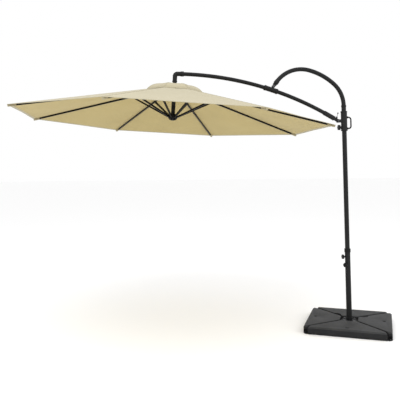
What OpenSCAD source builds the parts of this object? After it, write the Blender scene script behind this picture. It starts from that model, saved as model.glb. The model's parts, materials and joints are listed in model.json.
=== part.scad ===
// Cantilever patio umbrella on a cross base with four ballast slabs.
// Origin: the mast axis on the floor. +Z is up and the arm reaches towards -X.

/* [Base] */
// Half of the side of the square that the four slabs fill
base_half = 389; // [370:1:420]
// Turn of the base about the mast
base_turn = -26; // [-45:1:0]
// Height of a slab at its outer edge
slab_edge_h = 68; // [64:1:72]
// Height of a slab at its inner edge, by the pole
slab_inner_h = 72; // [70:1:76]
// Width of the cross beams
beam_w = 50; // [40:1:52]
// Height of the cross beams
beam_h = 30; // [26:1:32]

/* [Mast] */
// Outer diameter of the lower pole
pole_d = 52; // [51:1:54]
// Height of the top of the lower pole
pole_top = 738; // [700:1:760]
// Outer diameter of the upper mast
mast_d = 45; // [44:0.5:45]
// Height where the straight mast ends and the bend begins
bend_z = 2136; // [2120:1:2160]
// Outer diameter of the bent tube above the mast
arch_d = 42; // [38:1:42]

/* [Arm] */
// Radius of the arm's centre line
arm_r = 3068; // [3060:1:3080]
// Outer diameter of the arm
arm_d = 38; // [36:1:38]
// Distance from the mast axis to the arm's tail pivot
tail_x = 62; // [60:1:64]

/* [Canopy] */
// Radius of the canopy at its corners
canopy_r = 1500; // [1400:10:1540]
// Horizontal distance from the mast axis to the canopy's centre
canopy_x = 1694; // [1690:1:1700]
// Height of the canopy's rim plane
rim_z = 1969; // [1960:1:1990]
// Lean of the canopy, outer side up
canopy_tilt = 3.37; // [2.8:0.01:3.6]
// Slope of the ribs
rib_slope = 12.9; // [12:0.1:14]
// Distance along a rib from its hinge to the strut's pin
strut_a = 396; // [390:1:402]

/* [Hidden] */

$fn = 64;
graphite = "#33363a";
ballast = "#3b3d40";
cloth = "#d8c48e";
rib_black = "#1d1c1b";

// Ribs, counted round the canopy from the mast's side
rib_n = 8;
function rib_az(i) = 22.5 + 45 * (i - 1);

// Base and lower pole
slab_gap = 8;                       // from a beam's centre plane to a slab's edge, above the beam
slab_set = beam_w / 2 + 3;          // the same beside the beam
slab_foot = 2;
slab_in = 80;                       // inner edge of a slab
beam_reach = base_half * sqrt(2) - 62; // half the length of a cross beam
riser_side = 150;                   // block at the crossing, which lifts the pole's flange
riser_h = 50;
flange_side = 124;
flange_t = 8;
bolt_at = 46;
anchor_r = 508;                     // radius of the ground anchor holes, in tabs past the beams' ends
anchor_hole_r = 5.5;
collar_h = 36;
knob_up_z = 660;
knob_low_z = 584;
stud_r = 4;

// Arch: three arcs that follow one another, each turning towards the arm
arch_arcs = [[285, 48.46], [600, 27.08], [312, 67.35]];
arch_tail = 20;                     // straight end
arch_wall = 1.8;
fork_reach = 42;                    // from the tube's end to the fork's pin
function turn(p, h, r, a) = [p[0] - r * sin(h) + r * sin(h + a), p[1] + r * cos(h) - r * cos(h + a)];
arch_p = [[0, bend_z],
    turn([0, bend_z], 90, arch_arcs[0][0], arch_arcs[0][1])];
arch_h = [90, 90 + arch_arcs[0][1], 90 + arch_arcs[0][1] + arch_arcs[1][1],
    90 + arch_arcs[0][1] + arch_arcs[1][1] + arch_arcs[2][1]];
arch_p2 = turn(arch_p[1], arch_h[1], arch_arcs[1][0], arch_arcs[1][1]);
arch_p3 = turn(arch_p2, arch_h[2], arch_arcs[2][0], arch_arcs[2][1]);
arch_end = arch_p3 + arch_tail * [cos(arch_h[3]), sin(arch_h[3])];
fork_pin = arch_end + fork_reach * [cos(arch_h[3]), sin(arch_h[3])];
fork_pin_r = 5;
fork_play = [-7.2, -2.7];           // how far the pin drifts in the fork's slot at mid travel
slot_r = fork_pin_r + 0.45;
cheek_t = 5;
cheek_y = 6.6;                      // inner face of a cheek
lug_t = 12;

// Arm: one arc about a centre far below
arm_c = [-1655, -640];
function arm_phi(x) = asin((x - arm_c[0]) / arm_r);
function on_arm(phi) = arm_c + arm_r * [sin(phi), cos(phi)];
tail_phi = arm_phi(-tail_x);
tail = on_arm(tail_phi);
arm_wall = 1.6;
arm_start_phi = arm_phi(-1642);
arm_end_phi = arm_phi(-108);
socket_phi = arm_phi(-203);
sleeve_phi = [arm_phi(-800), arm_phi(-670)];
sleeve_r = 24.5;
sleeve_play = 0.3;

// Slider on the mast
slider_z = [1884, 2078];
slider_r = 30;
bush_r = 26;
bush_h = 28;
mast_play = 0.08;
ear_t = 6;
ear_y = 7.4;                        // inner face of an ear
handle_x = 70;
handle_z = [1908, 2018];
handle_d = 14;
slider_knob_z = 1917;
lever_at = [-74, 2018];
lever_lean = 18;
lever_t = 5;

// Canopy frame, in a frame of its own with its origin in the rim plane
crown_r = 44;                       // radius of the rib hinges
crown_z = 324;
hub_r = 33;                         // radius of the strut hinges
hub_z = 41;
rib_w = 12;
rib_h = 16;
rib_wall = 0.8;
rib_len = (canopy_r - 22 - crown_r) / cos(rib_slope);
strut_pin = [crown_r + strut_a * cos(rib_slope), crown_z - strut_a * sin(rib_slope)];
strut_v = strut_pin - [hub_r, hub_z];
strut_len = norm(strut_v);
strut_up = atan2(strut_v[1], strut_v[0]);
strut_w = 14;
pin_r = 2.5;
pin_play = 0.08;
post_d = 38;
post_z = [45, 426];
elbow_r = 24;                       // centre line of the elbow's bend
elbow_d = 44;
elbow_corner_z = 459.8;
cloth_t = 2;
cloth_apex = 345;
vent_r = 280;
vent_in = 30;
vent_z = [352, 296];                // at the inner and the outer edge
opening_r = 190;                    // hole in the main cloth under the vent
panel_half = 22.35;

module arc_tube(center, r, from, to, d, wall) {
    translate([center[0], 0, center[1]]) rotate([90, 0, 0]) rotate([0, 0, from])
        rotate_extrude(angle = to - from, $fn = 180) translate([r, 0]) difference() {
            circle(d = d, $fn = 48);
            if (wall > 0) circle(d = d - 2 * wall, $fn = 48);
        }
}

// A stretch of tube round the arm's own centre line
module arm_arc(phi_a, phi_b, d, bore) {
    arc_tube(arm_c, arm_r, 90 - phi_b, 90 - phi_a, d, (d - bore) / 2);
}

module y_rod(p, r, len) {
    translate([p[0], 0, p[1]]) rotate([90, 0, 0]) cylinder(r = r, h = len, center = true);
}

module base_frame() { rotate([0, 0, base_turn]) children(); }
module canopy_frame() { translate([-canopy_x, 0, rim_z]) rotate([0, canopy_tilt, 0]) children(); }
module at_rib(i) { canopy_frame() rotate([0, 0, rib_az(i)]) children(); }

// ---- base ----

module beam(w, h, wall) {
    difference() {
        translate([-beam_reach, -w / 2, 0]) cube([2 * beam_reach, w, h]);
        for (a = [0, 180]) rotate([0, 0, a])
            translate([85, -w / 2 + wall, wall]) cube([beam_reach, w - 2 * wall, h - 2 * wall]);
    }
}

module cross_base() {
    tab = [66, 36, 5];
    color(graphite) base_frame() difference() {
        union() {
            for (a = [45, 135]) rotate([0, 0, a]) beam(beam_w, beam_h, 3);
            translate([0, 0, riser_h / 2]) cube([riser_side, riser_side, riser_h], center = true);
            for (a = [45 : 90 : 315]) rotate([0, 0, a]) translate([anchor_r + 20 - tab[0], -tab[1] / 2, 0]) cube(tab);
        }
        for (a = [45 : 90 : 315]) rotate([0, 0, a]) {
            translate([anchor_r, 0, -1]) cylinder(r = anchor_hole_r, h = beam_h);
            rotate([0, 0, 45]) translate([bolt_at, bolt_at, -1]) cylinder(r = 5.1, h = riser_h + 2);
        }
    }
}

// Plugs in the beams' ends, above the anchor tabs
module cross_end_caps() {
    color("#1b1b1c") base_frame() for (a = [45 : 90 : 315]) rotate([0, 0, a]) {
        translate([beam_reach - 20, -beam_w / 2 + 3.2, 5.4]) cube([21, beam_w - 6.4, beam_h - 8.6]);
        translate([beam_reach + 0.2, -beam_w / 2, 5.4]) cube([4, beam_w, beam_h - 5.4]);
    }
}

// Plan of a slab, set back by g from the beams' centre planes
module slab_plan(g, inner, outer) {
    s = g * sqrt(2);
    cut = 44;
    polygon([[inner, -(inner - s)], [outer - cut + 8, -(outer - cut + 8 - s)], [outer, -(outer - cut)],
        [outer, outer - cut], [outer - cut + 8, outer - cut + 8 - s], [inner, inner - s]]);
}

module weight_slab(k) {
    color(ballast) base_frame() rotate([0, 0, 90 * (k - 1)]) difference() {
        union() {
            hull() {
                translate([0, 0, beam_h + 1]) linear_extrude(24) slab_plan(slab_gap, slab_in, base_half);
                translate([0, 0, beam_h + 1]) linear_extrude(slab_edge_h - beam_h - 1)
                    slab_plan(slab_gap + 6, base_half - 44, base_half - 14);
                translate([0, 0, beam_h + 1]) linear_extrude(slab_inner_h - beam_h - 1)
                    slab_plan(slab_gap + 4, slab_in + 4, slab_in + 60);
            }
            translate([0, 0, slab_foot]) linear_extrude(beam_h + 1 - slab_foot)
                slab_plan(slab_set, slab_in + 30, base_half);
        }
        // hand hold bitten out of one long side of the first two, and the filler neck
        if (k <= 2) translate([111, 143, slab_inner_h - 30]) cylinder(r = 61, h = 60);
        translate([base_half - 70, 0, slab_edge_h - 14]) cylinder(r = 17, h = 40);
    }
}

module slab_caps() {
    color("#202122") base_frame() for (k = [0 : 3]) rotate([0, 0, 90 * k])
        translate([base_half - 70, 0, slab_edge_h - 13]) {
            cylinder(r = 16, h = 13);
            translate([-10, -2, 12]) cube([20, 4, 5]);
        }
}

module lower_pole() {
    color(graphite) difference() {
        union() {
            base_frame() translate([-flange_side / 2, -flange_side / 2, riser_h])
                cube([flange_side, flange_side, flange_t]);
            translate([0, 0, riser_h + flange_t - 1]) cylinder(d = pole_d, h = pole_top - riser_h - flange_t - 6);
            translate([0, 0, riser_h + flange_t - 1]) cylinder(d = pole_d + 8, h = 26);
            for (k = [[180, knob_up_z], [217, knob_low_z]])
                translate([0, 0, k[1]]) rotate([0, 0, k[0]]) rotate([0, 90, 0]) cylinder(r = 9, h = pole_d / 2 + 5);
        }
        translate([0, 0, riser_h - 1]) cylinder(r = mast_d / 2 + mast_play, h = pole_top);
        for (k = [[180, knob_up_z], [217, knob_low_z]])
            translate([0, 0, k[1]]) rotate([0, 0, k[0]]) rotate([0, 90, 0]) cylinder(r = stud_r + mast_play, h = 60);
        base_frame() for (x = [-1, 1], y = [-1, 1])
            translate([x * bolt_at, y * bolt_at, riser_h - 1]) cylinder(r = 5.1, h = flange_t + 2);
    }
}

module flange_bolts() {
    color("#4a4c4f") base_frame() for (x = [-1, 1], y = [-1, 1]) translate([x * bolt_at, y * bolt_at, 0]) {
        translate([0, 0, 4]) cylinder(r = 5, h = riser_h + flange_t - 4);
        translate([0, 0, riser_h + flange_t]) cylinder(r = 10.5, h = 1.6);
        translate([0, 0, riser_h + flange_t + 1.6]) cylinder(r = 9, h = 6.5, $fn = 6);
    }
}

module pole_collar() {
    color("#1d1e20") translate([0, 0, pole_top - 7]) rotate_extrude() polygon([
        [mast_d / 2 + 0.3, 2], [pole_d / 2 + 0.1, 2], [pole_d / 2 + 0.1, -collar_h + 7], [pole_d / 2 + 3, -collar_h + 7],
        [pole_d / 2 + 4, -collar_h + 12], [pole_d / 2 + 4, 4], [pole_d / 2 + 1, 8], [mast_d / 2 + 0.3, 8]]);
}

// Screw knob: lobed head on a threaded stud, along +X with the stud's tip at the origin
module screw_knob(stud_len, neck_len, head_r, head_t) {
    rotate([0, 90, 0]) {
        cylinder(r = stud_r, h = stud_len + 1);
        translate([0, 0, stud_len]) cylinder(r = 8, h = neck_len);
        translate([0, 0, stud_len + neck_len]) difference() {
            cylinder(r = head_r, h = head_t);
            for (a = [0 : 60 : 300]) rotate([0, 0, a]) translate([head_r + 5, 0, -1]) cylinder(r = 8.5, h = head_t + 2);
        }
    }
}

module clamp_knob_upper() {
    color("#161718") translate([-(mast_d / 2 + 0.4), 0, knob_up_z]) rotate([0, 0, 180])
        screw_knob(10, 8, 22, 15);
}

module clamp_knob_lower() {
    a = 217;
    color("#161718") translate([(mast_d / 2 + 0.4) * cos(a), (mast_d / 2 + 0.4) * sin(a), knob_low_z])
        rotate([0, 0, a]) screw_knob(10, 4, 22, 15);
}

// ---- mast ----

module upper_mast() {
    color(graphite) difference() {
        translate([0, 0, 430]) cylinder(d = mast_d, h = bend_z - 430 - 6);
        translate([0, 0, 429]) cylinder(d = arch_d + 0.1, h = bend_z);
    }
}

module mast_ferrule() {
    color("#1d1e20") difference() {
        translate([0, 0, bend_z - 16]) cylinder(d = mast_d + 4, h = 18);
        translate([0, 0, bend_z - 17]) cylinder(d = mast_d + 0.1, h = 11);
        translate([0, 0, bend_z - 17]) cylinder(d = arch_d + 0.1, h = 40);
    }
}

// One arc of the arch, longer by lap at both ends
module arch_part(p, h, arc, d, lap) {
    more = lap / arc[0] * 180 / PI;
    arc_tube(p + arc[0] * [-sin(h), cos(h)], arc[0], h - 90 - more, h - 90 + arc[1] + more, d, arch_wall);
}

module straight_tube(d, len) {
    difference() {
        cylinder(d = d, h = len);
        translate([0, 0, -1]) cylinder(d = d - 2 * arch_wall, h = len + 2);
    }
}

// The tube is drawn a little slimmer in the tight bends, as bending leaves it
module mast_arch() {
    slim_d = arch_d - 0.4;
    lap = 3;
    color(graphite) {
        translate([0, 0, bend_z - 90]) straight_tube(arch_d, 90 + lap);
        arch_part(arch_p[0], arch_h[0], arch_arcs[0], slim_d, 0);
        arch_part(arch_p[1], arch_h[1], arch_arcs[1], arch_d, lap);
        arch_part(arch_p2, arch_h[2], arch_arcs[2], slim_d, 0);
        translate([arch_p3[0], 0, arch_p3[1]]) rotate([0, 90 - arch_h[3], 0])
            translate([0, 0, -lap]) straight_tube(arch_d, arch_tail + lap);
    }
}

module arch_fork() {
    color("#232528") difference() {
        union() {
            // cup over the tube's end
            translate([arch_end[0], 0, arch_end[1]]) rotate([0, 90 - arch_h[3], 0]) difference() {
                translate([0, 0, -26]) cylinder(d = arch_d + 5, h = 30);
                translate([0, 0, -27]) cylinder(d = arch_d + 0.1, h = 27);
            }
            for (s = [-1, 1]) translate([0, s * (cheek_y + cheek_t / 2), 0]) {
                y_rod(fork_pin, 13, cheek_t);
                y_rod(fork_pin + fork_play, slot_r + 2, cheek_t);
                translate([fork_pin[0], 0, fork_pin[1]]) rotate([0, 90 - arch_h[3], 0]) {
                    translate([-12, -cheek_t / 2, -fork_reach + 2]) cube([24, cheek_t, fork_reach - 2]);
                    translate([-18, -cheek_t / 2, -fork_reach + 2]) cube([36, cheek_t, fork_reach - 17]);
                }
            }
        }
        y_rod(fork_pin, slot_r, 60);
        y_rod(fork_pin + fork_play, slot_r, 60);
        translate([fork_pin[0], 0, fork_pin[1]]) rotate([0, -atan2(fork_play[1], fork_play[0]), 0])
            translate([0, -30, 0.05 - slot_r]) cube([norm(fork_play), 60, 2 * slot_r - 0.1]);
    }
}

// ---- slider ----

module slider_housing() {
    h = slider_z[1] - slider_z[0];
    color("#2a2c2f") difference() {
        union() {
            translate([0, 0, slider_z[0]]) cylinder(r = slider_r, h = h);
            for (z = [slider_z[0], slider_z[1] - 12]) translate([0, 0, z]) cylinder(r = slider_r + 2.5, h = 12);
            for (s = [-1, 1]) translate([0, s * (ear_y + ear_t / 2), 0]) {
                y_rod(tail, 17, ear_t);
                translate([tail[0], -ear_t / 2, tail[1] - 15]) cube([40, ear_t, 30]);
            }
            // bosses for the handle and the lock knob
            for (z = handle_z) translate([slider_r - 6, 0, z]) rotate([0, 90, 0]) cylinder(r = 11, h = 12);
            translate([-slider_r + 4, 0, slider_knob_z]) rotate([0, -90, 0]) cylinder(r = 13, h = 12);
        }
        translate([0, 0, slider_z[0] - 1]) cylinder(r = mast_d / 2 + 1.2, h = h + 2);
        for (z = [slider_z[0] - 1, slider_z[1] - bush_h]) translate([0, 0, z]) cylinder(r = bush_r, h = bush_h + 1);
        y_rod(tail, 6.05, 60);
        translate([0, 0, slider_knob_z]) rotate([0, -90, 0]) cylinder(r = stud_r + mast_play, h = 60);
        for (z = handle_z) translate([20, 0, z]) rotate([0, 90, 0]) cylinder(r = 3.05, h = 30);
    }
}

module slider_bushes() {
    color("#0f0f10") for (z = [slider_z[0], slider_z[1] - bush_h]) translate([0, 0, z]) difference() {
        cylinder(r = bush_r - 0.02, h = bush_h);
        translate([0, 0, -1]) cylinder(r = mast_d / 2 + mast_play, h = bush_h + 2);
    }
}

module d_handle() {
    x0 = slider_r + 6;
    r = 24;
    color("#2a2c2f") difference() {
        union() {
            for (z = handle_z) translate([x0, 0, z]) rotate([0, 90, 0]) cylinder(d = handle_d, h = handle_x - r - x0);
            translate([handle_x, 0, handle_z[0] + r])
                cylinder(d = handle_d, h = handle_z[1] - handle_z[0] - 2 * r);
            arc_tube([handle_x - r, handle_z[1] - r], r, 0, 90, handle_d, 0);
            arc_tube([handle_x - r, handle_z[0] + r], r, 270, 360, handle_d, 0);
            for (z = handle_z) translate([x0, 0, z]) rotate([0, 90, 0]) cylinder(r = 10, h = 5);
        }
        for (z = handle_z) translate([x0 - 1, 0, z]) rotate([0, 90, 0]) cylinder(r = 3.05, h = 9);
    }
}

module handle_screws() {
    start = bush_r + 0.4;
    color("#4a4c4f") for (z = handle_z) translate([start, 0, z]) rotate([0, 90, 0]) cylinder(r = 3, h = 44 - start);
}

module arm_pivot_pin() {
    span = 2 * (ear_y + ear_t);
    color("#4a4c4f") {
        y_rod(tail, 6, span + 2);
        for (s = [-1, 1]) translate([0, s * (span / 2 + 2.6), 0]) y_rod(tail, 10, 5);
    }
}

module slider_knob() {
    color("#161718") translate([-(mast_d / 2 + 0.4), 0, slider_knob_z]) rotate([0, 0, 180])
        screw_knob(16.5, 5, 26, 18);
}

module lock_lever() {
    color("#161718") {
        difference() {
            y_rod(lever_at, 6.5, lever_t);
            y_rod(lever_at, 2.55, 20);
        }
        translate([lever_at[0], 0, lever_at[1]]) rotate([0, lever_lean, 0]) {
            translate([0, 0, 5]) cylinder(r = 2.2, h = 34);
            translate([0, 0, 43]) sphere(r = 7);
        }
    }
}

// ---- arm ----

module arm_tube() {
    color(graphite) arm_arc(arm_start_phi, arm_end_phi, arm_d, arm_d - 2 * arm_wall);
}

module arm_tail_socket() {
    end_phi = arm_phi(-100);
    p = on_arm(end_phi);
    eye_y = ear_y - 0.4;            // half the width of the eye between the slider's ears
    lug_y = eye_y - 0.4;
    color("#2a2c2f") difference() {
        union() {
            arm_arc(socket_phi, end_phi, arm_d + 8, 0);
            y_rod(tail, 15.5, 2 * eye_y);
            translate([p[0], 0, p[1]]) rotate([0, end_phi, 0])
                translate([-14, -eye_y + 0.2, -14]) cube([54, 2 * eye_y - 0.4, 28]);
            // lug for the lever
            y_rod(lever_at, 7, 2 * lug_y);
            translate([lever_at[0] - 6, -lug_y, lever_at[1] - 24]) cube([12, 2 * lug_y, 24]);
        }
        arm_arc(socket_phi - 1, arm_end_phi + 0.01, arm_d + 0.1, 0);
        y_rod(tail, 6.05, 60);
        // room for the lever's foot
        translate([lever_at[0] - 12, -lever_t / 2 - 0.3, lever_at[1] - 9]) cube([24, lever_t + 0.6, 30]);
    }
    // axle of the lever
    color("#2a2c2f") y_rod(lever_at, 2.5, 2 * lug_y);
}

// Sliding sleeve round the arm, with a lug for the fork's pin
module arm_sleeve() {
    color("#232528") difference() {
        union() {
            arm_arc(sleeve_phi[0], sleeve_phi[1], 2 * sleeve_r, 0);
            for (phi = [sleeve_phi[0], sleeve_phi[1] - 0.28]) arm_arc(phi, phi + 0.28, 2 * sleeve_r + 4, 0);
            y_rod(fork_pin, 12, lug_t);
            translate([fork_pin[0], 0, fork_pin[1]]) rotate([0, arm_phi(fork_pin[0]), 0])
                translate([-11, -lug_t / 2, -26]) cube([22, lug_t, 26]);
        }
        arm_arc(sleeve_phi[0] - 1, sleeve_phi[1] + 1, arm_d + 2 * sleeve_play, 0);
        y_rod(fork_pin, fork_pin_r + 0.02, 60);
    }
}

module sleeve_pin() {
    half = cheek_y + cheek_t + 0.4;
    color("#4a4c4f") {
        y_rod(fork_pin, fork_pin_r, 2 * half + 2);
        for (s = [-1, 1]) translate([0, s * (half + 2), 0]) y_rod(fork_pin, 15, 4);
    }
}

// Elbow: socket on the arm, tight bend, socket on the post
module elbow() {
    bend_from = [-canopy_x + elbow_corner_z * sin(canopy_tilt), rim_z + elbow_corner_z * cos(canopy_tilt)];
    sweep = 90 - canopy_tilt;
    reach = elbow_r * tan(sweep / 2);
    p = bend_from + [reach, 0];
    neck_d = elbow_d - 1;
    color("#2a2c2f") difference() {
        union() {
            arc_tube(p - [0, elbow_r], elbow_r, 90, 90 + sweep, elbow_d, 0);
            translate([p[0] - 1, 0, p[1]]) rotate([0, 90, 0]) cylinder(d = neck_d, h = 34);
            translate([p[0] + 30, 0, p[1]]) rotate([0, 90, 0]) cylinder(d = elbow_d + 5, h = 30);
            canopy_frame() translate([0, 0, 386]) cylinder(d = neck_d, h = elbow_corner_z - 386 - reach + 1);
            canopy_frame() translate([0, 0, 380]) cylinder(d = elbow_d + 4, h = 10);
        }
        arm_arc(arm_start_phi - 0.01, arm_start_phi + 3, arm_d + 0.1, 0);
        canopy_frame() translate([0, 0, 370]) cylinder(d = post_d + 0.1, h = post_z[1] - 370);
    }
}

module center_post() {
    color(graphite) canopy_frame() difference() {
        translate([0, 0, post_z[0]]) cylinder(d = post_d, h = post_z[1] - post_z[0]);
        translate([0, 0, post_z[0] - 1]) cylinder(d = post_d - 3.2, h = post_z[1]);
    }
}

// ---- canopy frame ----

module crown_hub() {
    color("#1d1e20") canopy_frame() difference() {
        union() {
            translate([0, 0, crown_z - 16]) cylinder(r = crown_r + 9, h = 28);
            translate([0, 0, crown_z + 10]) cylinder(r = 30, h = 14);
        }
        translate([0, 0, crown_z - 30]) cylinder(d = post_d + 0.1, h = 80);
        for (i = [1 : rib_n]) rotate([0, 0, rib_az(i)]) {
            translate([crown_r - 12, -rib_w / 2 - 0.4, crown_z - 30]) cube([40, rib_w + 0.8, 60]);
            translate([crown_r, 0, crown_z]) rotate([90, 0, 0]) cylinder(r = pin_r + 0.02, h = 25, center = true);
        }
    }
}

module crown_pins() {
    color("#8d8f92") for (i = [1 : rib_n]) at_rib(i)
        translate([crown_r, 0, crown_z]) rotate([90, 0, 0]) cylinder(r = pin_r, h = 24, center = true);
}

module crown_flange() {
    color("#1d1e20") canopy_frame() translate([0, 0, vent_z[0] + 2]) rotate_extrude()
        polygon([[post_d / 2 + 0.05, 0], [34, 0], [34, 2.5], [26, 6], [24, 7.8], [post_d / 2 + 0.05, 7.8]]);
}

module rib(i) {
    color(rib_black) at_rib(i) translate([crown_r, 0, crown_z]) rotate([0, rib_slope, 0]) difference() {
        union() {
            rotate([90, 0, 0]) cylinder(r = rib_h / 2, h = rib_w, center = true);
            translate([0, -rib_w / 2, -rib_h / 2]) cube([rib_len, rib_w, rib_h]);
            translate([rib_len, 0, 0]) rotate([90, 0, 0]) cylinder(r = rib_h / 2, h = rib_w, center = true);
            // rivet for the strut
            translate([strut_a, 0, 0]) rotate([90, 0, 0]) cylinder(r = pin_r, h = rib_w + 8, center = true);
        }
        rotate([90, 0, 0]) cylinder(r = pin_r + pin_play, h = rib_w + 2, center = true);
        for (x = [[18, strut_a - 16], [strut_a + 16, rib_len - 12]])
            translate([x[0], -rib_w / 2 + rib_wall, -rib_h / 2 + rib_wall])
                cube([x[1] - x[0], rib_w - 2 * rib_wall, rib_h - 2 * rib_wall]);
    }
}

// Strut: two cheeks that straddle the rib, then a tube whose round end sits in the lower hub
module strut(i) {
    cheek = 92;
    color(rib_black) at_rib(i) translate([hub_r, 0, hub_z]) rotate([0, -strut_up, 0]) difference() {
        union() {
            rotate([90, 0, 0]) cylinder(r = 7.5, h = strut_w, center = true);
            translate([0, -strut_w / 2, -7.5]) cube([strut_len - cheek + 6, strut_w, 15]);
            for (s = [-1, 1]) translate([0, s * 7.8, 0]) {
                translate([strut_len, 0, 0]) rotate([90, 0, 0]) cylinder(r = 7, h = 2.4, center = true);
                translate([strut_len - cheek - 14, -1.2, -7]) cube([cheek + 14, 2.4, 14]);
            }
        }
        translate([strut_len, 0, 0]) rotate([90, 0, 0]) cylinder(r = pin_r + pin_play, h = 40, center = true);
        translate([30, -strut_w / 2 + 1.2, -6.3]) cube([strut_len - cheek - 34, strut_w - 2.4, 12.6]);
    }
}

module lower_hub() {
    color("#1d1e20") canopy_frame() difference() {
        translate([0, 0, hub_z]) rotate_extrude()
            polygon([[0, -24], [29, -24], [hub_r + 10, -8], [hub_r + 10, 26], [27, 26], [24, 34], [0, 34]]);
        translate([0, 0, post_z[0] - 2]) cylinder(d = post_d + 0.6, h = 80);
        for (i = [1 : rib_n]) rotate([0, 0, rib_az(i)])
            translate([hub_r - 9, -strut_w / 2 - 0.6, hub_z - 60]) cube([40, strut_w + 1.2, 120]);
    }
}

module hub_cap() {
    color("#161718") canopy_frame() translate([0, 0, hub_z - 24]) rotate_extrude()
        polygon([[0, -5], [10, -5], [19, -3.4], [22.5, 0], [0, 0]]);
}

// ---- canopy ----

// One leaf of cloth on a rib: from radius a to radius b at the rib, with heights za and zb there.
// Its outer edge is straight between the canopy's corners, and so is its inner edge.
module leaf(a, b, za, zb, t) {
    w = panel_half;
    k = cos(45 / 2) / cos(45 / 2 - w);
    top = [[a, 0, za], [b, 0, zb], [b * k * cos(w), b * k * sin(w), zb], [a * k * cos(w), a * k * sin(w), za],
        [b * k * cos(w), -b * k * sin(w), zb], [a * k * cos(w), -a * k * sin(w), za]];
    pts = concat(top, [for (p = top) [p[0], p[1], p[2] - t]]);
    polyhedron(pts, [[0, 1, 4, 5], [0, 3, 2, 1], [6, 11, 10, 7], [6, 7, 8, 9],
        [1, 2, 8, 7], [4, 1, 7, 10], [0, 6, 9, 3], [5, 11, 6, 0], [2, 3, 9, 8], [5, 4, 10, 11]]);
}

module canopy_panel(i) {
    s = tan(rib_slope);
    color(cloth) at_rib(i) {
        leaf(opening_r, canopy_r, cloth_apex - opening_r * s, cloth_apex - canopy_r * s, cloth_t);
        leaf(vent_in, vent_r, vent_z[0], vent_z[1], cloth_t);
    }
}

cross_base();
cross_end_caps();
weight_slab(1);  // weight_slab_1
weight_slab(2);  // weight_slab_2
weight_slab(3);  // weight_slab_3
weight_slab(4);  // weight_slab_4
slab_caps();
lower_pole();
flange_bolts();
pole_collar();
clamp_knob_upper();
clamp_knob_lower();
upper_mast();
mast_ferrule();
mast_arch();
arch_fork();
slider_housing();
slider_bushes();
d_handle();
handle_screws();
arm_pivot_pin();
slider_knob();
lock_lever();
arm_tube();
arm_tail_socket();
elbow();
center_post();
crown_hub();
crown_pins();
crown_flange();
arm_sleeve();
sleeve_pin();
lower_hub();
hub_cap();
for (i = [1 : rib_n]) {
    rib(i);
    strut(i);
    canopy_panel(i);
}
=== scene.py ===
"""Looks of the cantilever patio umbrella: coated frame, sewn canopy cloth and moulded ballast slabs."""

import json
import math

import bmesh
import bpy
from mathutils import Matrix, Vector


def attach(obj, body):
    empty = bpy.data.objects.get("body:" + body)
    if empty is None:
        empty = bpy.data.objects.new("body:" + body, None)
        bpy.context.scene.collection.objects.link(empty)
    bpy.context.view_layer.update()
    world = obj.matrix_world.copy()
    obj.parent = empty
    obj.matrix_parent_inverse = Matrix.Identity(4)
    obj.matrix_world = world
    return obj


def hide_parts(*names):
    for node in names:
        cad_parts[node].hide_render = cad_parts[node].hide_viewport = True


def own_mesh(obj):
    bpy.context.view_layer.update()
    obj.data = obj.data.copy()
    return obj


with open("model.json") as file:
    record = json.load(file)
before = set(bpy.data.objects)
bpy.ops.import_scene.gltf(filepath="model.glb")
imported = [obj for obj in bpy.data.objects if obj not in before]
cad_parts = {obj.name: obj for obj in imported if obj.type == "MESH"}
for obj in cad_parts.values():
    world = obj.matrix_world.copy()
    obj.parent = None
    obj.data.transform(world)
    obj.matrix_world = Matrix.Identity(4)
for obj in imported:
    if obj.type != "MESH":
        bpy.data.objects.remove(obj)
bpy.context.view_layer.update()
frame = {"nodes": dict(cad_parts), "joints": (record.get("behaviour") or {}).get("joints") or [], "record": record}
nodes = frame["nodes"]
joints = {j["name"]: j for j in frame["joints"]}
RIBS = 8
HALF = math.pi / RIBS  # half the angle of a rib's panel


# ---- mesh helpers ----

def link_new(name, data):
    obj = bpy.data.objects.new(name, data)
    bpy.context.scene.collection.objects.link(obj)
    return obj


def make_object(name, points, faces, smooth=True, face_materials=None, sharp=None, uvs=None):
    """A mesh object; edges sharper than sharp degrees stay sharp, uvs has one place for each point."""
    mesh = bpy.data.meshes.new(name)
    mesh.from_pydata([tuple(p) for p in points], [], faces)
    mesh.validate()
    mesh.polygons.foreach_set("use_smooth", [smooth] * len(mesh.polygons))
    if face_materials:
        mesh.polygons.foreach_set("material_index", face_materials)
    if sharp is not None:
        mesh.set_sharp_from_angle(angle=math.radians(sharp))
    if uvs:
        layer = mesh.uv_layers.new(name="UVMap")
        for loop in mesh.loops:
            layer.data[loop.index].uv = uvs[loop.vertex_index]
    mesh.update()
    return link_new(name, mesh)


def loft(rings):
    """Points and faces of a closed body through rings that all have the same number of points."""
    n = len(rings[0])
    points = [p for ring in rings for p in ring]
    faces = []
    for r in range(len(rings) - 1):
        for k in range(n):
            a, b = r * n + k, r * n + (k + 1) % n
            faces.append((a, b, b + n, a + n))
    faces.append(tuple(range(n - 1, -1, -1)))
    faces.append(tuple(range((len(rings) - 1) * n, len(rings) * n)))
    return points, faces


class MeshParts:
    """Collects small closed shapes into one mesh."""

    BRICK_FACES = ((3, 2, 1, 0), (4, 5, 6, 7), (0, 1, 5, 4), (1, 2, 6, 5), (2, 3, 7, 6), (3, 0, 4, 7))

    def __init__(self):
        self.points, self.faces = [], []

    def add(self, points, faces):
        start = len(self.points)
        self.points += [Vector(p) for p in points]
        self.faces += [tuple(start + v for v in f) for f in faces]

    def brick(self, centre, along, across, up, size):
        """A small box with its long side along, and size (length, width, height)."""
        a, c, u = along * size[0] / 2, across * size[1] / 2, up * size[2] / 2
        outline = ((-1, -1), (1, -1), (1, 1), (-1, 1))
        points = [centre + i * a + j * c + k * u for k in (-1, 1) for i, j in outline]
        self.add(points, self.BRICK_FACES)


# ---- materials ----

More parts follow.
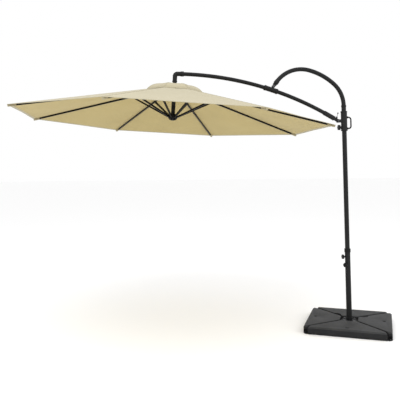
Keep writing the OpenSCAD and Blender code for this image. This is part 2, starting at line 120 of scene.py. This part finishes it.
class Shader:
    """A small wrapper that keeps node building short."""

    def __init__(self, name):
        self.material = bpy.data.materials.new(name)
        self.material.use_nodes = True
        self.tree = self.material.node_tree
        self.tree.nodes.clear()
        self.out = self.node("ShaderNodeOutputMaterial")
        self.bsdf = self.node("ShaderNodeBsdfPrincipled")
        self.link(self.bsdf.outputs[0], self.out.inputs[0])

    def node(self, kind, **values):
        made = self.tree.nodes.new(kind)
        for key, value in values.items():
            setattr(made, key, value)
        return made

    def link(self, a, b):
        self.tree.links.new(a, b)

    def set(self, **values):
        for key, value in values.items():
            self.bsdf.inputs[key.replace("_", " ")].default_value = value

    def coordinates(self, kind="Object"):
        return self.node("ShaderNodeTexCoord").outputs[kind]

    def noise(self, where, scale, detail=4.0, roughness=0.55):
        made = self.node("ShaderNodeTexNoise")
        made.inputs["Scale"].default_value = scale
        made.inputs["Detail"].default_value = detail
        made.inputs["Roughness"].default_value = roughness
        self.link(where, made.inputs["Vector"])
        return made.outputs[0]

    def ramp(self, value, stops):
        made = self.node("ShaderNodeValToRGB")
        elements = made.color_ramp.elements
        while len(elements) < len(stops):
            elements.new(0.5)
        for element, (position, colour) in zip(elements, stops):
            element.position = position
            element.color = (*colour, 1.0) if hasattr(colour, "__len__") else (colour, colour, colour, 1.0)
        self.link(value, made.inputs[0])
        return made.outputs[0]

    def math(self, operation, a, b):
        made = self.node("ShaderNodeMath", operation=operation)
        for socket, value in zip(made.inputs, (a, b)):
            if isinstance(value, (int, float)):
                socket.default_value = value
            else:
                self.link(value, socket)
        return made.outputs[0]

    def mix(self, share, a, b, mode="MIX"):
        made = self.node("ShaderNodeMix", data_type="RGBA", blend_type=mode)
        for socket, value in ((made.inputs[0], share), (made.inputs[6], a), (made.inputs[7], b)):
            if isinstance(value, (int, float)):
                socket.default_value = value
            elif hasattr(value, "__len__"):
                socket.default_value = (*value, 1.0)
            else:
                self.link(value, socket)
        return made.outputs[2]

    def bump(self, heights):
        """Chains bumps: each is (height, strength, distance in metres)."""
        normal = None
        for height, strength, distance in heights:
            made = self.node("ShaderNodeBump")
            made.inputs["Strength"].default_value = strength
            made.inputs["Distance"].default_value = distance
            self.link(height, made.inputs["Height"])
            if normal is not None:
                self.link(normal, made.inputs["Normal"])
            normal = made.outputs[0]
        self.link(normal, self.bsdf.inputs["Normal"])

    def edge_mask(self, radius, low, high):
        """1 on convex and concave edges, 0 on open faces."""
        bevel = self.node("ShaderNodeBevel", samples=4)
        bevel.inputs["Radius"].default_value = radius
        geometry = self.node("ShaderNodeNewGeometry")
        dot = self.node("ShaderNodeVectorMath", operation="DOT_PRODUCT")
        self.link(bevel.outputs[0], dot.inputs[0])
        self.link(geometry.outputs["Normal"], dot.inputs[1])
        return self.ramp(self.math("SUBTRACT", 1.0, dot.outputs["Value"]), [(low, 0.0), (high, 1.0)])


def lighter(colour, gain):
    return [min(1.0, c * gain) for c in colour]


def powder_coat(name, dark, light, roughness):
    """A coated tube: orange peel, faint clouds and dust, with a painted highlight along the edges."""
    s = Shader(name)
    where = s.coordinates()
    peel = s.noise(where, 1400.0, 2.0)
    cloud = s.noise(where, 7.0, 5.0)
    dust = s.noise(where, 45.0, 6.0, 0.7)
    mottled = s.math("ADD", s.math("MULTIPLY", cloud, 0.7), s.math("MULTIPLY", dust, 0.3))
    colour = s.ramp(mottled, [(0.3, dark), (0.7, light)])
    edges = s.edge_mask(0.0012, 0.04, 0.3)
    # painted highlight: the edges are lightened in patches, for the light they catch
    painted_edge_highlight = s.math("MULTIPLY", edges, s.ramp(dust, [(0.45, 0.0), (0.7, 0.6)]))
    s.link(s.mix(painted_edge_highlight, colour, lighter(light, 4.5)), s.bsdf.inputs["Base Color"])
    shine = s.ramp(dust, [(0.3, roughness - 0.06), (0.8, roughness + 0.1)])
    s.link(shine, s.bsdf.inputs["Roughness"])
    s.set(Specular_IOR_Level=0.13)
    s.bump([(peel, 0.25, 0.0004), (dust, 0.06, 0.0006)])
    return s.material


def moulded_plastic(name, dark, light, roughness, grain, depth, edge_highlight_gain=2.2, painted_side_shade=1.0):
    """Moulded plastic: a spark-eroded grain of a given depth, mottling, a painted highlight along the edges and,
    if asked, painted shade on the upright faces.
    """
    s = Shader(name)
    where = s.coordinates()
    texture = s.noise(where, grain, 3.0)
    cloud = s.noise(where, 9.0, 6.0, 0.65)
    speck = s.noise(where, 70.0, 5.0, 0.7)
    mottled = s.math("ADD", s.math("MULTIPLY", cloud, 0.6), s.math("MULTIPLY", speck, 0.4))
    colour = s.ramp(mottled, [(0.36, dark), (0.64, light)])
    edges = s.edge_mask(0.003, 0.02, 0.25)
    # painted highlight: the edges are lightened in patches, for the light they catch
    painted_edge_highlight = s.math("MULTIPLY", edges, s.ramp(speck, [(0.35, 0.15), (0.65, 0.75)]))
    painted = s.mix(painted_edge_highlight, colour, lighter(light, edge_highlight_gain))
    if painted_side_shade < 1.0:  # painted shade: upright faces are darkened, as if lit from above
        normal = s.node("ShaderNodeSeparateXYZ")
        s.link(s.node("ShaderNodeNewGeometry").outputs["Normal"], normal.inputs[0])
        shade = s.ramp(normal.outputs["Z"], [(0.25, painted_side_shade), (0.92, 1.0)])
        painted = s.mix(1.0, painted, shade, "MULTIPLY")
    s.link(painted, s.bsdf.inputs["Base Color"])
    shine = s.ramp(speck, [(0.3, roughness - 0.05), (0.75, roughness + 0.12)])
    s.link(shine, s.bsdf.inputs["Roughness"])
    s.set(Specular_IOR_Level=0.15)
    s.bump([(texture, 0.5, depth), (speck, 0.2, depth)])
    return s.material


def zinc(name):
    """Zinc-plated steel with a fine spangle."""
    s = Shader(name)
    where = s.coordinates()
    spangle = s.noise(where, 260.0, 3.0)
    fine = s.noise(where, 900.0, 2.0)
    colour = s.ramp(spangle, [(0.35, (0.05, 0.05, 0.052)), (0.65, (0.11, 0.11, 0.115))])
    s.link(colour, s.bsdf.inputs["Base Color"])
    s.link(s.ramp(fine, [(0.3, 0.28), (0.7, 0.45)]), s.bsdf.inputs["Roughness"])
    s.set(Metallic=0.9)
    s.bump([(fine, 0.2, 0.0003)])
    return s.material


def canopy_fabric(name, dark, light, weave=0.0022):
    """Plain weave polyester, weave metres a thread: slubs along the thread, slight fading in patches."""
    s = Shader(name)
    uv = s.coordinates("UV")
    where = s.coordinates()
    threads = []
    for direction in ("X", "Y"):
        wave = s.node("ShaderNodeTexWave", wave_type="BANDS", bands_direction=direction)
        wave.inputs["Scale"].default_value = 1.0 / weave / 20 * math.tau
        wave.inputs["Distortion"].default_value = 0.6
        wave.inputs["Detail"].default_value = 1.0
        s.link(uv, wave.inputs["Vector"])
        threads.append(wave.outputs[1])
    woven = s.math("MULTIPLY", threads[0], threads[1])
    stretched = s.node("ShaderNodeMapping")
    stretched.inputs["Scale"].default_value = (30.0, 900.0, 30.0)
    s.link(uv, stretched.inputs["Vector"])
    slub = s.noise(stretched.outputs[0], 1.0, 3.0)
    fade = s.noise(where, 2.2, 5.0)
    crumple = s.noise(where, 11.0, 4.0)
    patches = s.math("ADD", s.math("MULTIPLY", fade, 0.6), s.math("MULTIPLY", slub, 0.4))
    body = s.ramp(patches, [(0.32, dark), (0.68, light)])
    threaded = s.mix(0.22, body, s.ramp(woven, [(0.0, 0.55), (0.6, 1.0)]), "MULTIPLY")
    s.link(threaded, s.bsdf.inputs["Base Color"])
    s.set(Roughness=0.82, Specular_IOR_Level=0.2, Sheen_Weight=0.12, Sheen_Roughness=0.5)
    s.bump([(crumple, 0.25, 0.004), (woven, 0.35, 0.0004), (slub, 0.15, 0.0003)])
    return s.material


FINE_GRAIN = {"grain": 900.0, "depth": 0.0003}
MATERIALS = {
    "graphite_metal": powder_coat(
        "graphite_coat", (0.011, 0.0112, 0.0118), (0.017, 0.0174, 0.0184), roughness=0.42),
    "joint_plastic": moulded_plastic(
        "joint_moulding", (0.01, 0.0102, 0.0106), (0.016, 0.0164, 0.017), roughness=0.5, **FINE_GRAIN),
    "black_plastic": moulded_plastic(
        "black_moulding", (0.006, 0.006, 0.0065), (0.011, 0.011, 0.0115), roughness=0.52, **FINE_GRAIN),
    "knob_plastic": moulded_plastic(
        "knob_moulding", (0.005, 0.005, 0.0055), (0.009, 0.009, 0.0095), roughness=0.42,
        grain=1100.0, depth=0.0002),
    "slab_plastic": moulded_plastic(
        "slab_moulding", (0.034, 0.0345, 0.0355), (0.058, 0.059, 0.061), roughness=0.65,
        grain=420.0, depth=0.0008, edge_highlight_gain=1.5, painted_side_shade=0.4),
    "zinc_hardware": zinc("zinc_plate"),
    "rib_steel": powder_coat(
        "rib_coat", (0.0035, 0.003, 0.0025), (0.0065, 0.0058, 0.005), roughness=0.4),
    "canopy_cloth": canopy_fabric("canopy_outer", (0.453, 0.407, 0.278), (0.509, 0.461, 0.32)),
}
# painted light: the cloth's lower face is a deeper gold, for the sunlight that shines through the cloth
PAINTED_UNDERSIDE_GLOW = canopy_fabric("canopy_underside_painted_glow", (0.461, 0.366, 0.15), (0.534, 0.43, 0.181))
HEM = canopy_fabric("hem_tape", (0.44, 0.396, 0.272), (0.495, 0.45, 0.314), weave=0.0014)
POCKET = canopy_fabric("pocket_web", (0.36, 0.315, 0.2), (0.42, 0.37, 0.24), weave=0.0014)
THREAD = canopy_fabric("sewing_thread", (0.3, 0.265, 0.18), (0.38, 0.34, 0.24), weave=0.0006)


def dress(obj, slot, *materials):
    """Gives a piece its materials, the slot's own unless others are named."""
    kinds = [f.material_index for f in obj.data.polygons]
    obj.data.materials.clear()
    for material in materials or (MATERIALS[slot],):
        obj.data.materials.append(material)
    if len(materials) > 1:
        obj.data.polygons.foreach_set("material_index", kinds)
    return obj


def slot_of(node):
    return next(m for m in frame["record"]["subparts"] if m["node"] == node)["material_slot"]


# ---- the canopy's own frame, from the record's joints ----

hinges = [Vector(joints[f"rib_{i}_fold"]["pos_m"]) for i in range(1, RIBS + 1)]
crown = sum(hinges, Vector()) / RIBS
up = -Vector(joints["canopy_fold"]["axis"]).normalized()
east = Vector((up.z, 0.0, -up.x))
north = Vector((0.0, 1.0, 0.0))
ON_RIB = 0.0005  # a vertex this close to the rib's plane counts as on it


def canopy_point(radius, azimuth, height):
    return crown + east * radius * math.cos(azimuth) + north * radius * math.sin(azimuth) + up * height


def rib_azimuth(i):
    arm = hinges[i - 1] - crown
    return math.atan2(arm.dot(north), arm.dot(east))


def rib_axes(i):
    """Directions along a rib, outwards, and across it, both level in the canopy's frame."""
    a = rib_azimuth(i)
    return east * math.cos(a) + north * math.sin(a), north * math.cos(a) - east * math.sin(a)


def cloth_profile(i):
    """Radius and top height of the CAD cloth above a rib.

    The four places are the vent's inner edge, the main opening, the vent's outer edge and the rim.
    """
    along, across = rib_axes(i)
    top = {}
    for v in nodes[f"canopy_panel_{i}"].data.vertices:
        d = v.co - crown
        if abs(d.dot(across)) < ON_RIB:
            r = round(d.dot(along), 3)
            top[r] = max(top.get(r, -math.inf), d.dot(up))
    return sorted(top.items())


VENT_IN, OPENING, VENT_OUT, RIM = cloth_profile(1)
CLOTH_T = 0.0016
SAG = 0.005  # how far the cloth hangs below the straight cone, half way between two ribs
VENT_SAG = 0.003  # the same for the vent
VENT_LIFT = 0.0045  # the vent's outer edge over the main cloth
VENT_PUFF = 4.2  # how late the vent's cap turns down
CREASE = 0.0012  # height of the small creases
SCALLOP = 0.006  # share by which the rim curves in between two ribs
SCALLOP_FROM = 0.86  # where that curve begins, as a share of the leaf's length


def cone_height(r):
    share = (r - OPENING[0]) / (RIM[0] - OPENING[0])
    return OPENING[1] + (RIM[1] - OPENING[1]) * share


def ring_factor(a):
    """Radius at angle a from a rib on an octagon whose corner is at radius 1."""
    return math.cos(HALF) / math.cos(HALF - abs(a))


def off_rib(a):
    """0 on a rib and close to it, 1 half way to the next one."""
    x = abs(a) / HALF
    return x ** 3 * (4 - 3 * x)


def ripple(azimuth, r):
    """Small creases that run from the rib's tip inwards, the same on both sides of a leaf's edge."""
    return (math.sin(17 * azimuth + 9.0 * r) + 0.6 * math.sin(29 * azimuth - 14.0 * r + 1.3)) / 1.6


def main_cloth_point(i, share, a):
    """Point on the main cloth's upper face.

    The share runs from the opening to the rim, and a is the angle from the rib.
    """
    azimuth = rib_azimuth(i) + a
    away = off_rib(a)
    scallop = 1 - SCALLOP * away * max(0.0, share - SCALLOP_FROM) / (1 - SCALLOP_FROM)
    r = OPENING[0] + (RIM[0] - OPENING[0]) * share
    belly = 4 * share * (1 - share) if share < 1 else 0.0
    height = cone_height(r) - SAG * away * belly ** 0.8
    height += CREASE * away * belly * ripple(azimuth, r)
    return canopy_point(r * ring_factor(a) * scallop, azimuth, height)


def vent_point(i, share, a):
    """Point on the vent's upper face: share runs from the post to the vent's outer edge."""
    azimuth = rib_azimuth(i) + a
    away = off_rib(a)
    r = VENT_IN[0] + (VENT_OUT[0] - VENT_IN[0]) * share
    edge = cone_height(VENT_OUT[0]) + VENT_LIFT
    height = VENT_IN[1] - (VENT_IN[1] - edge) * share ** VENT_PUFF
    height -= VENT_SAG * away * math.sin(math.pi * min(share, 1))
    height += CREASE * share * away * ripple(azimuth, r)
    return canopy_point(r * ring_factor(a), azimuth, height)


# ---- the cloth ----

# A span is the part of a leaf that a sheet covers, from -1 on the leaf's left edge to 1 on its right one.
BOTH, LEFT, RIGHT = (-1, 1), (-1, 0), (0, 1)
SIDES = {"left": LEFT, "right": RIGHT}


def span_angles(span, columns):
    return [HALF * (span[0] + (span[1] - span[0]) * c / columns) for c in range(columns + 1)]


def cloth_sheet(name, i, surface, span, rows, columns):
    """A closed thin sheet: upper and lower layers of a grid, joined round its edge.

    Its faces are of kind 0, and those of the lower layer of kind 1.
    """
    shares = [r / rows for r in range(rows + 1)]
    top = [surface(i, s, a) for s in shares for a in span_angles(span, columns)]
    n, count = columns + 1, len(top)
    points = top + [p - up * CLOTH_T for p in top]
    faces, kinds = [], []
    for r in range(rows):
        for c in range(columns):
            q = (r * n + c, (r + 1) * n + c, (r + 1) * n + c + 1, r * n + c + 1)
            faces += [q, tuple(count + v for v in reversed(q))]
            kinds += [0, 1]
    inner_edge = list(range(n))
    right_edge = [r * n + columns for r in range(1, rows + 1)]
    outer_edge = [rows * n + c for c in range(columns - 1, -1, -1)]
    left_edge = [r * n for r in range(rows - 1, 0, -1)]
    loop = inner_edge + right_edge + outer_edge + left_edge
    for v, w in zip(loop, loop[1:] + loop[:1]):
        faces.append((v, w, count + w, count + v))
        kinds.append(0)
    along, across = rib_axes(i)
    uvs = [((p - crown).dot(along), (p - crown).dot(across)) for p in points]
    obj = make_object(name, points, faces, face_materials=kinds, sharp=50, uvs=uvs)
    # the lower layer carries the painted light through the cloth
    return dress(obj, "canopy_cloth", MATERIALS["canopy_cloth"], PAINTED_UNDERSIDE_GLOW)


def gather_to_rib(obj, i, span):
    """Gives the cloth a mesh of its own; the rib's ridge, rim and sideways direction are worked out but not used.
    """
    ridge, rim = main_cloth_point(i, 0.0, 0.0), main_cloth_point(i, 1.0, 0.0)
    side = rib_axes(i)[1]
    if span != BOTH:
        side = main_cloth_point(i, 1.0, HALF * sum(span)) - rim
    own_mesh(obj)


def flat_size(i, surface, span, strips=40):
    """Width and length of the flat cut, and its area as the sum over narrow strips."""
    length, area, width = 0.0, 0.0, 0.0
    angles = span_angles(span, strips)
    middle = sum(span) / 2 * HALF
    for k in range(strips):
        inner, outer = k / strips, (k + 1) / strips
        ring = [surface(i, (inner + outer) / 2, a) for a in angles]
        strip_width = sum((p - q).length for p, q in zip(ring, ring[1:]))
        strip_length = (surface(i, inner, middle) - surface(i, outer, middle)).length
        length += (surface(i, inner, 0.0) - surface(i, outer, 0.0)).length
        area += strip_length * strip_width
        width = max(width, strip_width)
    return width, length, area


# ---- hems, seams and pockets ----

HEM_W = 0.026
VENT_HEM_W = 0.018
HEM_WRAP = 0.0012  # how far the hem reaches past the cloth's edge
HEM_STITCH_INSET = 0.004
SEAM_W = 0.014
SEAM_STITCH_INSET = 0.003
TAPE_T = 0.0006
STITCH = (0.0045, 0.0011, 0.0009)  # length, width and height
STITCH_STEP = 0.0085
SAME_PLACE = 1e-6  # points closer than this have no direction between them
TAPE_KIND, THREAD_KIND = 0, 1
BRICK_SIDES = len(MeshParts.BRICK_FACES)


class Trim(MeshParts):
    """Tapes and stitches on a leaf, with a kind for each face."""

    def __init__(self):
        super().__init__()
        self.kinds = []

    def cloth(self, points, faces):
        self.add(points, faces)
        self.kinds += [TAPE_KIND] * len(faces)

    def stitch(self, centre, along, across, up, size):
        self.brick(centre, along, across, up, size)
        self.kinds += [THREAD_KIND] * BRICK_SIDES

    def tape(self, side_a, side_b):
        """A flat tape that wraps the cloth, between two lines on its upper face."""
        over, under = up * TAPE_T, up * (CLOTH_T + TAPE_T)
        self.cloth(*loft([[a + over, b + over, b - under, a - under] for a, b in zip(side_a, side_b)]))

    def stitches(self, line):
        """A running stitch along a line on the tape, on its upper side and its lower side."""
        carry = 0.0
        for a, b in zip(line, line[1:]):
            run = b - a
            if run.length < SAME_PLACE:
                continue
            along = run.normalized()
            across = up.cross(along).normalized()
            lift = along.cross(across)
            while carry < run.length:
                for height in (TAPE_T, -CLOTH_T - TAPE_T):
                    self.stitch(a + along * carry + up * height, along, across, lift, STITCH)
                carry += STITCH_STEP
            carry -= run.length


def rim_line(i, surface, share, span, columns=30):
    return [surface(i, share, a) for a in span_angles(span, columns)]


def rib_line(i, surface, inner, outer, offset, rows=46):
    """A line along the rib at a small sideways offset from it."""
    line = []
    for k in range(rows + 1):
        share = k / rows
        r = inner + (outer - inner) * share
        line.append(surface(i, share, offset / r))
    return line


def finish_trim(name, trim):
    uvs = [((p - crown).dot(east), (p - crown).dot(north)) for p in trim.points]
    obj = make_object(name, trim.points, trim.faces, smooth=False, face_materials=trim.kinds, uvs=uvs)
    return dress(obj, "canopy_cloth", HEM, THREAD)


def hem(name, i, surface, inner, outer, width, span):
    """The folded band along the outer edge, with two rows of stitches."""
    trim = Trim()
    reach = outer - inner
    trim.tape(rim_line(i, surface, 1 - width / reach, span), rim_line(i, surface, 1 + HEM_WRAP / reach, span))
    for inset in (HEM_STITCH_INSET, width - HEM_STITCH_INSET):
        trim.stitches(rim_line(i, surface, 1 - inset / reach, span))
    return finish_trim(name, trim)


def seam(name, i, surface, inner, outer):
    """The tape over the rib, with a row of stitches near each of its edges."""
    trim = Trim()
    edge = SEAM_W / 2
    trim.tape(rib_line(i, surface, inner, outer, -edge), rib_line(i, surface, inner, outer, edge))
    for side in (-1, 1):
        trim.stitches(rib_line(i, surface, inner, outer, side * (edge - SEAM_STITCH_INSET)))
    return finish_trim(name, trim)


POCKET_LEN = 0.068
POCKET_HALF_W, POCKET_DEPTH = 0.0098, 0.0205
POCKET_SQUARENESS = 0.55  # 1 gives an oval section, smaller values a squarer one
POCKET_SIDES = 20
POCKET_INSET = 0.003  # from the pocket's end to the cloth's corner
POCKET_STATIONS = (  # place along the pocket and fullness of its section
    (0.0, 0.86), (0.03, 0.95), (0.08, 1.0), (0.5, 1.0), (0.86, 0.98), (0.95, 0.88), (0.99, 0.66), (1.0, 0.4))
TACK = (0.0026, 0.001, 0.0007)  # a short stitch of the bars down the pocket's sides
TACK_PLACES = (0.08, 0.9)  # of the bars along the pocket
TACK_OFFSET = 0.0099  # from the pocket's middle
TACK_STEP = 0.004
TACKS = 4


def squared(x):
    """Pushes a sine or cosine outwards, which gives a section its flat sides."""
    return math.copysign(abs(x) ** POCKET_SQUARENESS, x)


def tip_pocket(i):
    """The sewn pocket that holds a rib's tip, closed at its outer end."""
    along, across = rib_axes(i)

    def under_cloth(place):
        """Radius and height of the cloth's lower face at a place along the pocket."""
        r = RIM[0] - POCKET_INSET - POCKET_LEN * (1 - place)
        return r, cone_height(r) - CLOTH_T

    rings = []
    for place, fullness in POCKET_STATIONS:
        r, roof = under_cloth(place)
        half_w, depth = POCKET_HALF_W * fullness, POCKET_DEPTH * fullness
        ring = []
        for k in range(POCKET_SIDES):
            turn = math.tau * k / POCKET_SIDES
            x = half_w * squared(math.cos(turn))
            y = depth / 2 * (squared(math.sin(turn)) - 1)
            ring.append(crown + along * r + across * x + up * (roof + y))
        rings.append(ring)
    trim = Trim()
    trim.cloth(*loft(rings))
    for place in TACK_PLACES:
        r, roof = under_cloth(place)
        for side in (-1, 1):
            for k in range(1, TACKS + 1):
                centre = crown + along * r + across * side * TACK_OFFSET + up * (roof - TACK_STEP * k)
                trim.stitch(centre, up, along, across * side, TACK)
    uvs = [((p - crown).dot(along), (p - crown).dot(across) + (p - crown).dot(up)) for p in trim.points]
    name = f"tip_pocket_{i}"
    obj = make_object(name, trim.points, trim.faces, face_materials=trim.kinds, sharp=45, uvs=uvs)
    dress(obj, "canopy_cloth", POCKET, THREAD)
    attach(obj, f"canopy_rib_{i}")
    return obj


def hang(obj, i, span):
    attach(obj, f"canopy_rib_{i}")
    gather_to_rib(obj, i, span)
    return obj


def declare(i, surface, span):
    width, length, area = flat_size(i, surface, span)


def main_leaf(i):
    """Two half leaves with their hems, and the seam and the pocket, which go with the right half."""
    pocket = tip_pocket(i)
    ridge_seam = hang(seam(f"canopy_seam_{i}", i, main_cloth_point, OPENING[0], RIM[0]), i, BOTH)
    for side, span in SIDES.items():
        leaf = cloth_sheet(f"canopy_cloth_{i}_{side}", i, main_cloth_point, span, rows=46, columns=13)
        hang(leaf, i, span)
        edge = hem(f"canopy_hem_{i}_{side}", i, main_cloth_point, OPENING[0], RIM[0], HEM_W, span)
        trims = [hang(edge, i, span)]
        if side == "right":
            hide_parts(f"canopy_panel_{i}")
            trims += [ridge_seam, pocket]
        declare(i, main_cloth_point, span)


def vent_leaf(i):
    leaf = cloth_sheet(f"vent_cloth_{i}", i, vent_point, BOTH, rows=22, columns=14)
    hang(leaf, i, BOTH)
    edge = hem(f"vent_hem_{i}", i, vent_point, VENT_IN[0], VENT_OUT[0], VENT_HEM_W, BOTH)
    ridge_seam = seam(f"vent_seam_{i}", i, vent_point, VENT_IN[0], VENT_OUT[0])
    trims = [hang(trim, i, BOTH) for trim in (edge, ridge_seam)]
    declare(i, vent_point, BOTH)


for number in range(1, RIBS + 1):
    main_leaf(number)
    vent_leaf(number)


# ---- moulded, cast and turned parts with rounded edges ----

BODY_OF = {node: body for body, members in frame["record"]["behaviour"]["bodies"].items() for node in members}
ROUNDING = {  # edge radius in metres
    "weight_slab_1": 0.0065, "weight_slab_2": 0.0065, "weight_slab_3": 0.0065, "weight_slab_4": 0.0065,
    "slab_caps": 0.0012, "pole_collar": 0.001, "clamp_knob_upper": 0.002, "clamp_knob_lower": 0.002,
    "slider_knob": 0.0024, "slider_housing": 0.0012, "arm_tail_socket": 0.001, "arch_fork": 0.0008,
    "arm_sleeve": 0.001, "sleeve_pin": 0.0012, "arm_pivot_pin": 0.0012, "lower_hub": 0.0012,
    "hub_cap": 0.0008, "crown_flange": 0.0008, "mast_ferrule": 0.0008, "flange_bolts": 0.0008,
    "cross_end_caps": 0.0012,
}
MERGE_DISTANCE = 2e-5
FLAT_ANGLE = math.radians(0.6)  # faces closer to one plane than this are one face
SHARP_ANGLE = math.radians(28)  # edges sharper than this are rounded
ROUNDING_STEPS = 3


def rounded_part(name, radius):
    """Stands for a CAD node: the same shape with its sharp edges rounded."""
    node = nodes[name]
    work = bmesh.new()
    work.from_mesh(node.data)
    work.transform(node.matrix_world)
    bmesh.ops.remove_doubles(work, verts=work.verts, dist=MERGE_DISTANCE)
    bmesh.ops.dissolve_limit(work, angle_limit=FLAT_ANGLE, verts=work.verts, edges=work.edges)
    edges = [e for e in work.edges if len(e.link_faces) == 2 and e.calc_face_angle(0.0) > SHARP_ANGLE]
    bmesh.ops.bevel(work, geom=edges, offset=radius, segments=ROUNDING_STEPS, profile=0.5, affect="EDGES",
                    clamp_overlap=True)
    bmesh.ops.triangulate(work, faces=[f for f in work.faces if len(f.verts) > 4])
    work.verts.index_update()
    points = [v.co.copy() for v in work.verts]
    faces = [[v.index for v in f.verts] for f in work.faces]
    work.free()
    obj = make_object(f"{name}_shell", points, faces, sharp=35)
    dress(obj, slot_of(name))
    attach(obj, BODY_OF[name])
    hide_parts(name)


for part, edge_radius in ROUNDING.items():
    rounded_part(part, edge_radius)


# ---- CAD parts that are shown as they are ----

for name, node in nodes.items():
    if not node.hide_render:
        dress(node, slot_of(name))


# ---- stage, light and camera ----

WHITE = (1.0, 1.0, 1.0, 1.0)
FLOOR_REACH = 120.0
LAMP_AIM = Vector((-0.8, 0.0, 1.2))
LAMPS = (  # label, place, size in metres, power in watts
    ("key", (-3.5, -5.0, 7.0), 5.0, 260.0),
    ("fill", (4.5, -3.0, 4.0), 4.0, 90.0),
)


def studio():
    corners = [(x * FLOOR_REACH, y * FLOOR_REACH, 0) for x, y in ((-1, -1), (1, -1), (1, 1), (-1, 1))]
    floor = make_object("floor", corners, [(0, 1, 2, 3)])
    s = Shader("pale_floor")
    s.set(Base_Color=(0.97, 0.97, 0.97, 1.0), Roughness=0.9, Specular_IOR_Level=0.1)
    floor.data.materials.append(s.material)
    world = bpy.data.worlds.new("studio")
    world.use_nodes = True
    background = world.node_tree.nodes["Background"]
    background.inputs["Color"].default_value = WHITE
    background.inputs["Strength"].default_value = 1.0
    bpy.context.scene.world = world
    for label, place, size, power in LAMPS:
        lamp = bpy.data.lights.new(label, "AREA")
        lamp.size = size
        lamp.energy = power
        holder = link_new(label, lamp)
        holder.location = place
        holder.rotation_mode = "QUATERNION"
        holder.rotation_quaternion = (LAMP_AIM - Vector(place)).to_track_quat("-Z", "Y")


EYE = (-2.0481, -5.0266, 1.4756)  # the camera's place in metres
YAW, PITCH, ROLL = math.radians(6.973), math.radians(3.70), math.radians(-0.51)
LENS = 47.98  # mm, on a sensor of 36 mm
LENS_SHIFT = -0.152


def camera():
    ahead = Vector((math.sin(YAW) * math.cos(PITCH), math.cos(YAW) * math.cos(PITCH), math.sin(PITCH)))
    level = Vector((math.cos(YAW), -math.sin(YAW), 0.0))
    above = level.cross(ahead)
    right = level * math.cos(ROLL) + above * math.sin(ROLL)
    top = above * math.cos(ROLL) - level * math.sin(ROLL)
    data = bpy.data.cameras.new("camera")
    data.sensor_width = 36.0
    data.lens = LENS
    data.shift_y = LENS_SHIFT
    data.clip_end = 200.0
    obj = link_new("camera", data)
    obj.matrix_world = Matrix.Translation(EYE) @ Matrix((right, top, -ahead)).transposed().to_4x4()
    bpy.context.scene.camera = obj


studio()
camera()
bpy.context.scene.view_settings.view_transform = "Standard"
